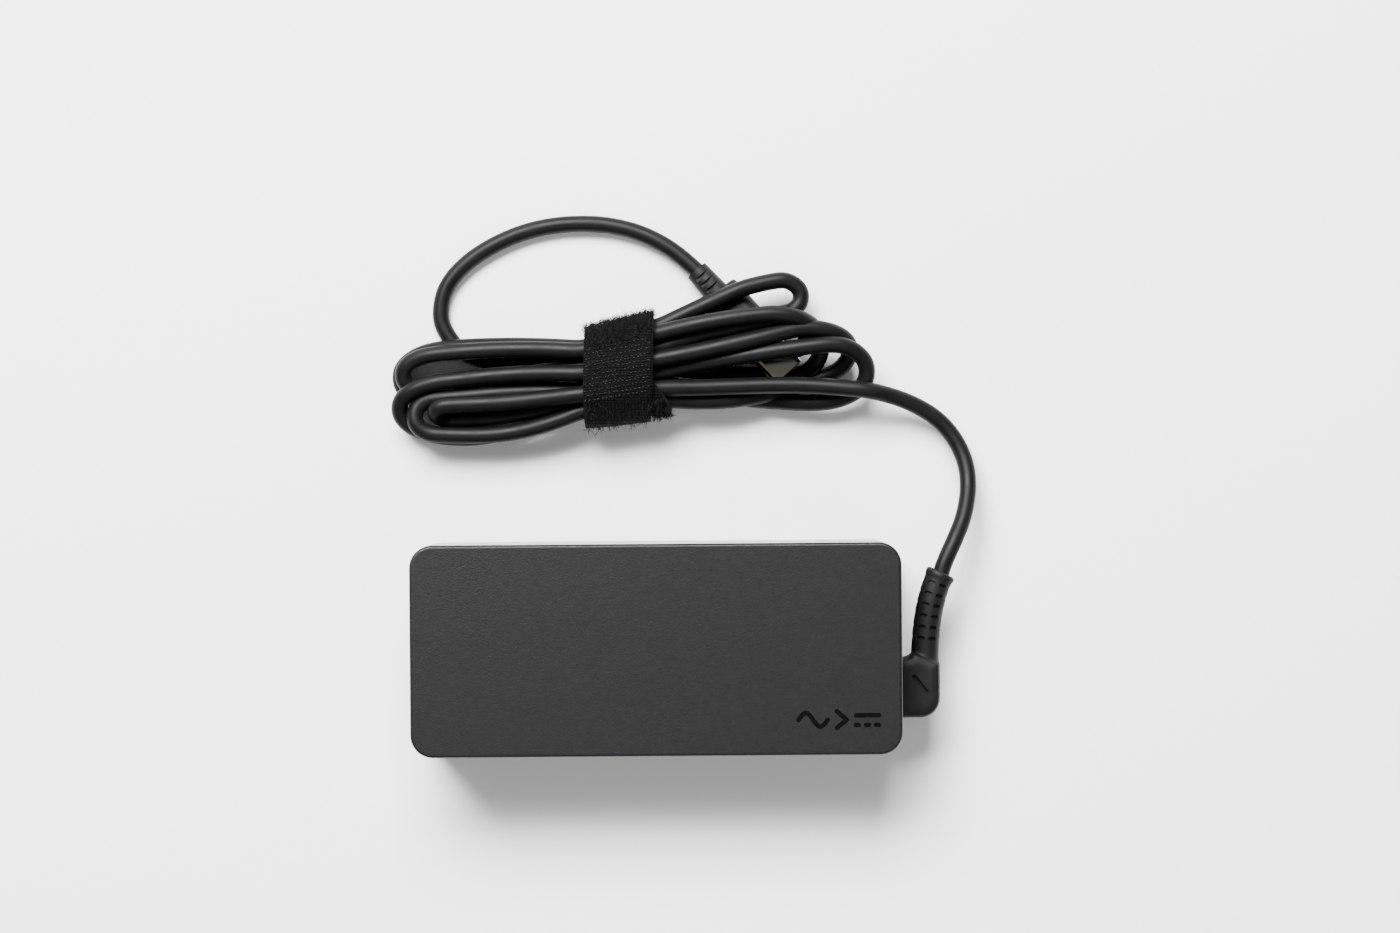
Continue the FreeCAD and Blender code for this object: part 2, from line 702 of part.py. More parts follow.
def tangent_arc(before, corner, after):
    """The arc that rounds a corner of the route, and its radius."""
    back, ahead = before - corner, after - corner
    half_turn = (math.pi - back.getAngle(ahead)) / 2
    shorter = min(back.Length, ahead.Length)
    reach = 0.45 * shorter
    radius = reach / math.tan(half_turn)
    back.normalize()
    ahead.normalize()
    start, end = corner + back * reach, corner + ahead * reach
    inward = (back + ahead).normalize()
    centre = corner + inward * (radius / math.cos(half_turn))
    middle = centre - inward * radius
    return start, middle, end, radius


def tube(name, points):
    """A round tube along straight runs that tangent arcs join."""
    edges, here, radii = [], points[0], []
    for before, corner, after in zip(points, points[1:], points[2:]):
        start, middle, end, radius = tangent_arc(before, corner, after)
        edges.append(Part.LineSegment(here, start).toShape())
        edges.append(Part.Arc(start, middle, end).toShape())
        radii.append(radius)
        here = end
    edges.append(Part.LineSegment(here, points[-1]).toShape())
    path = Part.Wire(edges)
    cord_radius = size("cord_diameter") / 2
    section = Part.Circle(points[0], points[1] - points[0], cord_radius).toShape()
    shape = path.makePipe(Part.Face(Part.Wire([section])))
    expected = math.pi * cord_radius ** 2 * path.Length
    print("%s: length %.1f mm, volume %.4f of section times length, radii %s"
          % (name, path.Length, shape.Volume / expected, [round(radius, 1) for radius in radii]))
    return shape


def make_cord():
    free_points = [boot_tip()] + [Vector(*point) for point in FREE_RUN] + [Vector(*FREE_END)]
    node(feature("free_run", tube("cord_free_run", free_points)), "cord_free_run")
    tail_points = [Vector(*TAIL_START)] + [Vector(*point) for point in TAIL] + [relief_tip()]
    node(feature("tail", tube("cord_tail", tail_points)), "cord_tail")


# ---------------------------------------------------------------- hank and tie

LEFT_LOBE = [(-15.8, 70.6), (-35.1, 70.3), (-46.7, 69.0), (-54.6, 66.6), (-59.3, 61.3), (-59.8, 54.5),
             (-57.0, 49.4), (-50.5, 46.6), (-40.5, 46.1), (-29.0, 47.6), (-15.8, 52.4)]
RIGHT_LOBE = [(0.6, 53.6), (12.0, 54.1), (27.5, 52.7), (40.0, 54.0), (48.5, 56.7), (50.0, 62.6),
              (46.6, 68.3), (39.4, 73.4), (34.8, 77.6), (34.6, 82.0), (30.0, 83.9), (19.2, 80.9), (8.5, 76.4),
              (0.6, 72.6)]


def lobe(points, foot, height):
    """A block whose outline is a smooth curve through the points, closed by a straight side."""
    curve = Part.BSplineCurve()
    curve.interpolate([Vector(x, y, foot) for x, y in points])
    first, last = Vector(*points[0], foot), Vector(*points[-1], foot)
    outline = Part.Wire([curve.toShape(), Part.LineSegment(last, first).toShape()])
    return Part.Face(outline).extrude(Vector(0, 0, height))


def make_hank():
    left = lobe(LEFT_LOBE, 0.0, size("left_lobe_height"))
    right = lobe(RIGHT_LOBE, 0.0, size("right_lobe_height"))
    gap, thickness = size("tie_gap"), size("tie_thickness")
    start, end = LEFT_LOBE[0][0], RIGHT_LOBE[0][0]
    waist = Part.makeBox(end - start, size("tie_high_side") - size("tie_low_side") - 2 * gap,
                         size("tie_inner_height") - thickness - 2 * gap,
                         Vector(start, size("tie_low_side") + gap, thickness + gap))
    clearance = size("plug_clearance")
    channel_width = size("overmould_width") + 2 * clearance
    channel_length = size("relief_length") + size("overmould_length") + size("shell_length") + 2 * clearance
    channel = Part.makeBox(channel_length, channel_width, size("overmould_height") + 1 + clearance,
                           Vector(-size("relief_length"), -channel_width / 2, -size("overmould_height") / 2 - 1))
    channel.Placement = plug_frame().multiply(channel.Placement)
    shape = left.multiFuse([waist, right]).cut(channel)
    node(feature("hank", shape), "cord_hank")


def make_tie():
    gap, thickness = size("tie_gap"), size("tie_thickness")
    low, high, inner_top = size("tie_low_side"), size("tie_high_side"), size("tie_inner_height")
    start, length = LEFT_LOBE[0][0] + gap, RIGHT_LOBE[0][0] - LEFT_LOBE[0][0] - 2 * gap
    outer = Part.makeBox(length, high - low + 2 * thickness, inner_top + thickness,
                         Vector(start, low - thickness, 0))
    along = [edge for edge in outer.Edges if edge.BoundBox.XLength > length / 2]
    outer = outer.makeFillet(thickness, along)
    hole = Part.makeBox(length, high - low, inner_top - thickness, Vector(start, low, thickness))
    flap_length = size("tie_flap")
    flap = Part.makeBox(length, flap_length + 1, thickness, Vector(start, low - thickness - flap_length, 0))
    node(feature("tie", outer.cut(hole).fuse(flap)), "hook_and_loop_tie")


# ---------------------------------------------------------------- build, check, write

def build():
    make_covers()
    make_inlet()
    make_heat_spreaders()
    make_board()
    make_parts_on_board()
    make_bulk_capacitor()
    make_choke()
    make_transformer()
    make_boot()
    make_plug()
    make_cord()
    make_hank()
    make_tie()
    doc.recompute()


def check():
    for item in doc.Objects:
        for state in ("Invalid", "Error"):
            if state in item.State:
                raise RuntimeError("%s is %s" % (item.Label, state))
    for item in NODES:
        if item.Shape.isNull() or not item.Shape.isValid():
            raise RuntimeError("%s has no valid shape" % item.Label)


build()
check()
for item in NODES:
    item.Shape.exportStep("parts/%s.step" % item.Label)
print("%d sub-parts written" % len(NODES))
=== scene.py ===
import json
import math

import bmesh
import bpy
import numpy as np
from mathutils import Matrix, Vector


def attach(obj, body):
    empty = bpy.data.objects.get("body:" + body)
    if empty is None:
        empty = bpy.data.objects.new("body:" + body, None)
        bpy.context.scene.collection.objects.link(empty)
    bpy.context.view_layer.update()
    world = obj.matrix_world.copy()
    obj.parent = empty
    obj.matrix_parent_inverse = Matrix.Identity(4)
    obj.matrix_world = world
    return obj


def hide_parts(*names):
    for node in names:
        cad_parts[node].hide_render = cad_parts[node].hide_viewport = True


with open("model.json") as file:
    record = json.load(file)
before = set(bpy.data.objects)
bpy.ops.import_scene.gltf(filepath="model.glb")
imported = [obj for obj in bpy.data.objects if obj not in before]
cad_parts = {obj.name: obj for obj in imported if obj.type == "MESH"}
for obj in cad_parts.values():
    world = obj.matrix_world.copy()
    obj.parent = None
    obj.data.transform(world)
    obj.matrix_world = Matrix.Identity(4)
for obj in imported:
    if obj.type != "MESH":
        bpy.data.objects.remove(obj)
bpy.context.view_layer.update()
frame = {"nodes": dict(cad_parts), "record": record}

# Laptop power adapter, in metres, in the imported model's frame: origin under the middle of
# the case, +X towards the cord boot, +Y towards the hank, +Z up.

MM = 0.001

# ---------------------------------------------------------------- camera, floor and light

CAMERA_HEIGHT = 0.700
CAMERA_AXIS = (0.00997, 0.04017)
CAMERA_TURN = math.radians(-0.45)
SENSOR_WIDTH = 36.0
LENS = 78.75

# Each light's name, place, size, power and colour; all of them point at the same spot.
LIGHTS = [
    ("window", (-0.22, 0.80, 0.95), (0.9, 0.5), 80.0, (1.0, 0.995, 0.985)),
    ("overhead", (-0.40, 0.72, 1.15), (0.6, 0.5), 26.0, (1.0, 1.0, 1.0)),
    ("fill", (0.2, -0.75, 1.2), (1.2, 0.8), 7.0, (1.0, 1.0, 1.0)),
]
LIT_SPOT = (0.0, 0.03, 0.0)
SKY_STRENGTH = 0.30
FLOOR_REACH = 1.5


def make_camera():
    """A camera that looks straight down on the case and the hank."""
    data = bpy.data.cameras.new("camera")
    data.sensor_width = SENSOR_WIDTH
    data.lens = LENS
    data.clip_start = 0.01
    data.clip_end = 10.0
    camera = bpy.data.objects.new("camera", data)
    camera.location = (*CAMERA_AXIS, CAMERA_HEIGHT)
    camera.rotation_euler = (0, 0, CAMERA_TURN)
    bpy.context.collection.objects.link(camera)
    bpy.context.scene.camera = camera


def area_light(name, place, size, power, colour):
    """A soft rectangular light that points at the lit spot."""
    data = bpy.data.lights.new(name, "AREA")
    data.shape = "RECTANGLE"
    data.size, data.size_y = size
    data.energy = power
    data.color = colour
    light = bpy.data.objects.new(name, data)
    light.location = place
    light.rotation_euler = (Vector(LIT_SPOT) - Vector(place)).to_track_quat("-Z", "Y").to_euler()
    bpy.context.collection.objects.link(light)


def light_scene():
    """The studio light: three soft lamps and an even sky."""
    for light in LIGHTS:
        area_light(*light)
    world = bpy.data.worlds.new("world")
    bpy.context.scene.world = world
    world.use_nodes = True
    background = world.node_tree.nodes["Background"]
    background.inputs["Color"].default_value = (1.0, 1.0, 1.0, 1)
    background.inputs["Strength"].default_value = SKY_STRENGTH


# ---------------------------------------------------------------- cord

CORD_DIAMETER = 0.0038
CORD_RADIUS = CORD_DIAMETER / 2

# The route's points where it isn't coiled: from the boot to the hank, and from the hank to the plug.
FREE_RUN = [(0.0650, 0.0191, 0.0129), (0.0669, 0.0229, 0.0120), (0.0695, 0.0286, 0.0097),
            (0.0708, 0.0352, 0.0068), (0.0703, 0.0409, 0.0050), (0.0678, 0.0464, 0.0042),
            (0.0639, 0.0508, 0.0045), (0.0585, 0.0540, 0.0057), (0.0530, 0.0560, 0.0072)]
TAIL = [(-0.0491, 0.0746, 0.0019), (-0.0482, 0.0806, 0.0019), (-0.0448, 0.0854, 0.0019),
        (-0.0391, 0.0898, 0.0019), (-0.0314, 0.0935, 0.0019), (-0.0233, 0.0955, 0.0019),
        (-0.0144, 0.0958, 0.0020), (-0.0078, 0.0949, 0.0021), (-0.0016, 0.0929, 0.0023),
        (0.0053, 0.0889, 0.0026)]

# Where each pass of the cord goes through the tie, in millimetres: its Y at the tie's left
# side, its Y at the right side, and its height.
TIE_LEFT, TIE_RIGHT = -16.0, 1.0
LOW, MIDDLE, HIGH = 3.1, 6.5, 9.9
PASSES = [
    (56.7, 57.9, HIGH),
    (55.2, 59.2, LOW),
    (57.4, 61.6, MIDDLE),
    (53.2, 55.6, 4.5),
    (61.2, 64.4, HIGH),
    (58.8, 62.9, LOW),
    (66.2, 70.2, HIGH),
    (62.7, 67.0, MIDDLE),
    (62.4, 66.5, LOW),
    (67.0, 71.8, MIDDLE),
    (66.2, 70.1, LOW),
]

# The folds between the passes, left and right in turn, in millimetres: the X of the fold's tip,
# how far its tip leans in Y, and for the strand that comes in and the one that goes out, the
# place where the fold starts and how far the strand bows in Y on its way from the tie.
FOLDS = [
    (-49.6, 0.0, (-41.0, 54.4, 10.5, -0.2), (-41.0, 51.2, 4.6, -0.7)),
    (48.2, 0.3, (37.0, 54.3, 2.5, -1.0), (39.5, 67.5, 11.0, 0.5)),
    (-54.6, 0.0, (-46.5, 56.0, 6.0, 0.6), (-46.0, 47.8, 5.5, -2.1)),
    (44.4, 0.6, (37.2, 60.2, 2.0, -2.6), (33.0, 71.2, 10.0, -0.3)),
    (-58.4, 0.0, (-44.1, 60.2, 9.0, 0.6), (-46.0, 47.2, 1.9, -3.5)),
    (38.0, 0.0, (32.0, 60.8, 1.9, -0.7), (27.0, 74.3, 11.0, 0.6)),
    (-57.4, -0.3, (-49.5, 66.0, 9.0, 0.8), (-50.0, 57.2, 4.0, 0.8)),
    (34.4, 0.0, (24.5, 72.1, 9.5, 0.8), (24.0, 67.1, 9.0, -0.2)),
    (-58.4, -0.3, (-49.5, 55.0, 1.9, 0.8), (-47.0, 67.5, 5.5, 0.6)),
    (33.3, 0.0, (24.5, 82.3, 9.0, 0.2), (24.5, 74.6, 6.0, -0.8)),
]
TAIL_LEAD = [(-22.0, 65.3, 2.4), (-28.0, 64.6, 1.9), (-34.5, 64.1, 1.9), (-40.6, 64.8, 1.9),
             (-44.9, 67.2, 1.9), (-47.6, 70.8, 1.9)]
FREE_LEAD = [(47.6, 57.2, 8.6), (41.0, 57.8, 9.2), (34.0, 58.3, 9.3), (27.0, 58.4, 9.0),
             (19.0, 58.2, 8.6), (10.0, 57.9, 8.6)]
STRAND_STEPS = (0.17, 0.34, 0.5, 0.66, 0.83)
FOLD_ANGLES = (0, 25, 50, 75, 105, 130, 155, 180)
FOLD_RADIUS = 3.4  # the bend that the tip of a fold is drawn with


def strand(edge, shoulder):
    """The points of a strand between the tie's side and the start of a fold."""
    x, y, z, bow = shoulder
    points = []
    for step in STRAND_STEPS:
        lift = bow * 4 * step * (1 - step)
        points.append((edge[0] + (x - edge[0]) * step, edge[1] + (y - edge[1]) * step + lift,
                       edge[2] + (z - edge[2]) * step))
    return points


def fold(tip, lean, start, end):
    """The points of a fold: half an oval from one strand to the next, rounder where they are close."""
    side = math.copysign(1, tip)
    start, end = np.array(start[:3]), np.array(end[:3])
    across = (start - end)[1:] / 2
    half = np.linalg.norm(across)
    width = max(half, FOLD_RADIUS)
    depth = width ** 2 / FOLD_RADIUS
    points = []
    for angle in FOLD_ANGLES:
        swing = math.radians(angle)
        share = (1 - math.cos(swing)) / 2
        base = side * max(side * (start[0] + (end[0] - start[0]) * share), side * tip - depth)
        y, z = (start + end)[1:] / 2 + across / half * width * math.cos(swing)
        points.append((base + (tip - base) * math.sin(swing), y + lean * math.sin(swing), z))
    return points


def hank_points():
    """Every point of the hank, turn by turn, in millimetres."""
    edges = {-1: TIE_LEFT, 1: TIE_RIGHT}
    points = list(FREE_LEAD)
    side = 1
    for number, (left_y, right_y, height) in enumerate(PASSES):
        sides = {-1: left_y, 1: right_y}
        middle = ((TIE_LEFT + TIE_RIGHT) / 2, (left_y + right_y) / 2, height)
        points.append((edges[side], sides[side], height))
        points.append(middle)
        side = -side
        leaving = (edges[side], sides[side], height)
        points.append(leaving)
        if number < len(FOLDS):
            tip, lean, start, end = FOLDS[number]
            next_left, next_right, next_height = PASSES[number + 1]
            arriving = (edges[side], next_left if side < 0 else next_right, next_height)
            points += strand(leaving, start)
            points += fold(tip, lean, start, end)
            points += reversed(strand(arriving, end))
    return points + TAIL_LEAD


# The plug lies under the hank: where its overmould starts, the way it points, and the
# half widths and half heights of its three stretches, for the cord to rest on.
PLUG_START = Vector((14.17, 79.53, 3.35))
PLUG_TURN = math.radians(-48.6)
PLUG_RISE = math.radians(4.0)
PLUG_STRETCHES = [(-7.0, 0.0, 2.8, 2.8), (0.0, 17.65, 5.2, 3.1), (17.65, 24.3, 4.17, 1.28)]
NO_LIMIT = 1e3

# How the strands are stacked, in millimetres: rounds of pushing, of which the last ones don't
# sink the cord, how near along the cord two places are too close to count as a crossing, and
# the tape's room under the cord.
SETTLE_ROUNDS, STILL_ROUNDS = 420, 60
NEIGHBOUR_REACH = 9.0
SINKING = 0.05
PUSH_SHARE, LEAST_SHARE = 0.7, 0.2
EVENING = 0.12
TAPE_ROOM, TIE_MARGIN = 1.2, 1.0


def spline_weights(count):
    """Quadratic B-spline weights of sample points on a line of control points."""
    rows = []
    for first in range(count - 2):
        for t in (0.0, 0.25, 0.5, 0.75):
            row = np.zeros(count)
            row[first] = (1 - t) ** 2 / 2
            row[first + 1] = (1 + 2 * t - 2 * t * t) / 2
            row[first + 2] = t * t / 2
            rows.append(row)
    return np.array(rows)


def plug_limits(plan, height):
    """The lowest height over the plug, or the highest height under it, for each sample."""
    low = np.full(len(plan), -NO_LIMIT)
    high = np.full(len(plan), NO_LIMIT)
    along = np.array([math.cos(PLUG_TURN), math.sin(PLUG_TURN)])
    across = np.array([-along[1], along[0]])
    offset = plan - np.array(PLUG_START[:2])
    reach, side = offset @ along, np.abs(offset @ across)
    middle = PLUG_START.z + reach * math.tan(PLUG_RISE)
    radius = CORD_RADIUS / MM
    for start, end, half_width, half_height in PLUG_STRETCHES:
        past = np.maximum(side - (half_width - half_height), 0)
        ends = np.maximum(np.maximum(start - reach, reach - end), 0)
        room = (half_height + radius) ** 2 - past ** 2 - ends ** 2
        near = room > 0
        rise = np.sqrt(np.where(near, room, 0))
        over = near & (height >= middle)
        under = near & (height < middle)
        low[over] = np.maximum(low[over], (middle + rise)[over])
        high[under] = np.minimum(high[under], (middle - rise)[under])
    return low, high


def settle(points):
    """Stack the strands: lift and lower them where they cross each other, the plug or the floor."""
    points = np.array(points, float)
    radius, diameter = CORD_RADIUS / MM, CORD_DIAMETER / MM
    weights = spline_weights(len(points))
    share = weights.sum(0)
    samples = weights @ points
    steps = np.linalg.norm(np.diff(samples, axis=0), axis=1)
    reach = np.concatenate([[0], np.cumsum(steps)])
    apart = np.abs(reach[:, None] - reach[None, :]) > NEIGHBOUR_REACH
    gap = samples[:, None, :2] - samples[None, :, :2]
    plan_distance = np.linalg.norm(gap, axis=2)
    crossing = apart & (plan_distance < diameter)
    need = np.sqrt(np.where(crossing, diameter ** 2 - plan_distance ** 2, 0))
    order = np.sign(samples[:, None, 2] - samples[None, :, 2] + 1e-9)
    in_tie = (samples[:, 0] > TIE_LEFT - TIE_MARGIN) & (samples[:, 0] < TIE_RIGHT + TIE_MARGIN)
    floor = np.where(in_tie, radius + TAPE_ROOM, radius)
    low, high = plug_limits(samples[:, :2], samples[:, 2])
    low = np.maximum(low, floor)
    for turn in range(SETTLE_ROUNDS):
        height = weights @ points[:, 2]
        spread = (height[:, None] - height[None, :]) * order
        lack = np.where(crossing, np.maximum(need - spread, 0), 0) * order
        push = 0.5 * (lack.max(1) + lack.min(1))
        push += np.maximum(low - height, 0)
        push -= np.maximum(height - high, 0)
        if turn < SETTLE_ROUNDS - STILL_ROUNDS:
            push -= SINKING
        points[:, 2] += PUSH_SHARE * (weights.T @ push) / np.maximum(share, LEAST_SHARE)
        bend = points[:-2, 2] - 2 * points[1:-1, 2] + points[2:, 2]
        points[1:-1, 2] += EVENING * bend
    points[:, 2] = np.maximum(points[:, 2], radius)
    return points, weights @ points


def make_cord():
    """The cord as one smooth line, the point where it leaves the boot, and places along its hank."""
    inside_boot = (0.0634, 0.0139, 0.0130)
    boot_tip = (0.06389, 0.01611, 0.0130)
    relief_tip = (0.00955, 0.08477, 0.00286)
    hank, samples = settle(hank_points())
    in_metres = [tuple(point * MM) for point in hank]
    route = [inside_boot, boot_tip, *FREE_RUN, *in_metres, *TAIL, relief_tip]
    curve = bpy.data.curves.new("cord", "CURVE")
    curve.dimensions = "3D"
    spline = curve.splines.new("NURBS")
    spline.points.add(len(route) - 1)
    for point, place in zip(spline.points, route):
        point.co = (*place, 1)
    spline.order_u = 3
    spline.use_endpoint_u = True
    spline.resolution_u = 6
    curve.bevel_depth = CORD_RADIUS
    curve.bevel_resolution = 6
    curve.use_fill_caps = True
    cord = bpy.data.objects.new("cord", curve)
    bpy.context.collection.objects.link(cord)
    return cord, boot_tip, samples


def spline_length(curve_object):
    """The length of a curve's centreline."""
    plain = curve_object.data.copy()
    plain.bevel_depth = 0
    holder = bpy.data.objects.new("holder", plain)
    mesh = bpy.data.meshes.new_from_object(holder)
    points = [vertex.co.copy() for vertex in mesh.vertices]
    bpy.data.objects.remove(holder)
    return sum((b - a).length for a, b in zip(points, points[1:]))


# ---------------------------------------------------------------- materials

CASE_HEIGHT = 0.0295
CASE_GLOSS = (0.002, 0.002, 0.0022)
CHARCOAL_DARK = (0.0022, 0.0023, 0.0026)
CHARCOAL_LIGHT = (0.0038, 0.0039, 0.0043)
MARK_BLACK = (0.0006, 0.0006, 0.0006)
COVER_INSIDE_BELOW = (0.018, 0.019)  # the heights between which the top cover's face takes over


def scaled(colour, share):
    """A colour made lighter or darker."""
    return tuple(min(1.0, part * share) for part in colour)


class Surface:
    """A node material in the making: its tree, its shader and the nodes that go into them."""

    def __init__(self, name, colour, roughness, metallic=0.0, specular=0.5):
        self.material = bpy.data.materials.new(name)
        self.material.use_nodes = True
        self.nodes = self.material.node_tree.nodes
        self.links = self.material.node_tree.links
        self.shader = self.nodes["Principled BSDF"]
        self.colour = colour
        self.roughness = roughness
        self.shader.inputs["Base Color"].default_value = (*colour, 1)
        self.shader.inputs["Roughness"].default_value = roughness
        self.shader.inputs["Metallic"].default_value = metallic
        self.shader.inputs["Specular IOR Level"].default_value = specular
        self.place = self.nodes.new("ShaderNodeTexCoord").outputs["Object"]
        self.bump_before = None

    def noise(self, size, detail=3.0, stretch=(1, 1, 1)):
        """Noise whose features are about this many metres across."""
        mapping = self.nodes.new("ShaderNodeMapping")
        mapping.inputs["Scale"].default_value = stretch
        self.links.new(self.place, mapping.inputs["Vector"])
        texture = self.nodes.new("ShaderNodeTexNoise")
        texture.inputs["Scale"].default_value = 1 / size
        texture.inputs["Detail"].default_value = detail
        self.links.new(mapping.outputs["Vector"], texture.inputs["Vector"])
        return texture.outputs["Fac"]

    def wave(self, direction, scale, distortion):
        """Even bands across one axis."""
        texture = self.nodes.new("ShaderNodeTexWave")
        texture.wave_type = "BANDS"
        texture.bands_direction = direction
        texture.inputs["Scale"].default_value = scale
        texture.inputs["Distortion"].default_value = distortion
        self.links.new(self.place, texture.inputs["Vector"])
        return texture.outputs["Fac"]

    def ramp(self, value, low, high, start=0.3, end=0.7):
        """Spread a value over a range."""
        spread = self.nodes.new("ShaderNodeMapRange")
        spread.inputs["From Min"].default_value = start
        spread.inputs["From Max"].default_value = end
        spread.inputs["To Min"].default_value = low
        spread.inputs["To Max"].default_value = high
        self.links.new(value, spread.inputs["Value"])
        return spread.outputs["Result"]

    def maths(self, operation, first, second):
        """Arithmetic on two values, each a socket or a number."""
        node = self.nodes.new("ShaderNodeMath")
        node.operation = operation
        for socket, value in zip(node.inputs, (first, second)):
            if isinstance(value, (int, float)):
                socket.default_value = value
            else:
                self.links.new(value, socket)
        return node.outputs["Value"]

    def mix(self, factor, first, second):
        """A colour between two colours."""
        mixer = self.nodes.new("ShaderNodeMix")
        mixer.data_type = "RGBA"
        self.links.new(factor, mixer.inputs["Factor"])
        for socket, value in zip((mixer.inputs["A"], mixer.inputs["B"]), (first, second)):
            if isinstance(value, tuple):
                socket.default_value = (*value, 1)
            else:
                self.links.new(value, socket)
        return mixer.outputs["Result"]

    def mottle(self, size, share):
        """Make the colour vary a little from place to place."""
        value = self.ramp(self.noise(size), 0, 1)
        return self.mix(value, scaled(self.colour, 1 - share), scaled(self.colour, 1 + share))

    def paint(self, colour):
        """Give the shader its colour."""
        self.links.new(colour, self.shader.inputs["Base Color"])

    def rough(self, value):
        """Give the shader its roughness."""
        self.links.new(value, self.shader.inputs["Roughness"])

    def bump(self, height, depth):
        """Raise the surface by up to a depth in metres, on top of what is raised already."""
        node = self.nodes.new("ShaderNodeBump")
        node.inputs["Strength"].default_value = 1.0
        node.inputs["Distance"].default_value = depth
        self.links.new(height, node.inputs["Height"])
        if self.bump_before:
            self.links.new(self.bump_before, node.inputs["Normal"])
        self.bump_before = node.outputs["Normal"]
        self.links.new(self.bump_before, self.shader.inputs["Normal"])

    def axis(self, letter, source=None):
        """One coordinate of the object's own position, or of another vector."""
        split = self.nodes.new("ShaderNodeSeparateXYZ")
        self.links.new(source or self.place, split.inputs["Vector"])
        return split.outputs[letter]

    def normal(self):
        """The way the surface faces."""
        return self.nodes.new("ShaderNodeNewGeometry").outputs["Normal"]


def moulded(name, colour, roughness, grain=0.0003, depth=0.00002, share=0.08, specular=0.5):
    """Moulded plastic: a fine grain, with soft changes of colour and gloss."""
    surface = Surface(name, colour, roughness, specular=specular)
    surface.paint(surface.mottle(0.004, share))
    surface.rough(surface.ramp(surface.noise(0.0025), roughness * 0.85, min(1.0, roughness * 1.15)))
    surface.bump(surface.noise(grain, 2.0), depth)
    return surface.material


def brushed(name, colour, roughness, stretch):
    """Metal with a drawn or brushed grain."""
    surface = Surface(name, colour, roughness, 1.0)
    streaks = surface.noise(0.0012, 4.0, stretch)
    surface.paint(surface.mix(surface.ramp(streaks, 0, 1), scaled(colour, 0.85), colour))
    surface.rough(surface.ramp(streaks, roughness * 0.7, roughness * 1.3))
    surface.bump(streaks, 0.000006)
    return surface.material


def wound(name, colour, pitch):
    """Enamelled wire wound side by side, seen as fine ribs, with painted shade in the grooves between
    turns.
    """
    surface = Surface(name, colour, 0.28, 0.85)
    angle = surface.maths("MULTIPLY", surface.axis("Z"), math.tau / pitch)
    ribs = surface.maths("SINE", surface.maths("ADD", angle, surface.noise(0.004)), 0.0)
    # The colour drops to half in the troughs between turns: painted shade in the grooves, not a change in
    # the copper.
    surface.paint(surface.mix(surface.ramp(ribs, 0, 1, -1, 1), scaled(colour, 0.5), colour))
    surface.rough(surface.ramp(surface.noise(0.002), 0.22, 0.36))
    surface.bump(ribs, 0.00008)
    return surface.material


def case_material(name, top_height=None):
    """Glossy black sides and a finely textured face; a top cover's is charcoal, with dark marks cut in."""
    surface = Surface(name, CASE_GLOSS, 0.16, specular=0.19)
    grain = surface.noise(0.00028, 3.0)
    side_rough = surface.ramp(surface.noise(0.006, 2.0), 0.16, 0.24)
    if top_height is None:
        surface.paint(surface.mottle(0.01, 0.2))
        faces_down = surface.ramp(surface.axis("Z", surface.normal()), 1, 0, -0.9, -0.6)
        surface.rough(surface.maths("ADD", side_rough, surface.maths("MULTIPLY", faces_down, 0.35)))
        surface.bump(surface.maths("MULTIPLY", grain, faces_down), 0.00003)
        return surface.material
    level = surface.axis("Z")
    faces_up = surface.ramp(surface.axis("Z", surface.normal()), 0, 1, 0.55, 0.8)
    on_face = surface.ramp(level, 0, 1, top_height - 0.0002, top_height - 0.0001)
    speckle = surface.ramp(surface.noise(0.0005, 3.0), 0, 1)
    charcoal = surface.mix(speckle, CHARCOAL_DARK, CHARCOAL_LIGHT)
    engraved = surface.mix(on_face, MARK_BLACK, charcoal)
    outside = surface.ramp(level, 0, 1, *COVER_INSIDE_BELOW)
    textured = surface.maths("MULTIPLY", faces_up, outside)
    surface.paint(surface.mix(textured, CASE_GLOSS, engraved))
    face_rough = surface.ramp(surface.noise(0.0015, 3.0), 0.42, 0.46)
    top_rough = surface.maths("MULTIPLY", face_rough, surface.ramp(on_face, 0.4, 1, 0, 1))
    rough = surface.nodes.new("ShaderNodeMix")
    for socket, value in zip((rough.inputs["Factor"], rough.inputs["A"], rough.inputs["B"]),
                             (textured, side_rough, top_rough)):
        surface.links.new(value, socket)
    surface.rough(rough.outputs["Result"])
    surface.bump(surface.maths("MULTIPLY", grain, textured), 0.00006)
    return surface.material


def cord_material(name):
    """A satin PVC jacket, a little uneven."""
    surface = Surface(name, (0.0026, 0.0026, 0.0028), 0.48, specular=0.11)
    surface.paint(surface.mottle(0.006, 0.25))
    surface.rough(surface.ramp(surface.noise(0.003, 3.0), 0.43, 0.53))
    surface.bump(surface.noise(0.0004, 2.0), 0.000012)
    surface.bump(surface.noise(0.009, 1.0), 0.00012)
    return surface.material


def rubber_material(name):
    """Soft matte moulding compound."""
    surface = Surface(name, (0.0032, 0.0032, 0.0034), 0.5, specular=0.14)
    surface.paint(surface.mottle(0.003, 0.2))
    surface.rough(surface.ramp(surface.noise(0.002, 3.0), 0.48, 0.62))
    surface.bump(surface.noise(0.00025, 3.0), 0.00003)
    return surface.material


def floor_material():
    """A seamless studio sheet."""
    surface = Surface("floor", (0.84, 0.835, 0.83), 0.7)
    surface.paint(surface.mottle(0.3, 0.01))
    surface.rough(surface.ramp(surface.noise(0.05), 0.62, 0.75))
    surface.bump(surface.noise(0.0006, 2.0), 0.00001)
    return surface.material


# ---------------------------------------------------------------- hook-and-loop tie

# In millimetres, and in steps round the bundle of which HULL_STEPS make a turn.
TAPE_THICKNESS = 1.0
TAPE_STATIONS = 17
TAPE_CUP, EDGE_WANDER = 0.18, 0.15
HULL_STEPS = 120
HULL_INSET, HULL_FLOOR, TAPE_FLOOR = 1.5, 0.12, 0.1

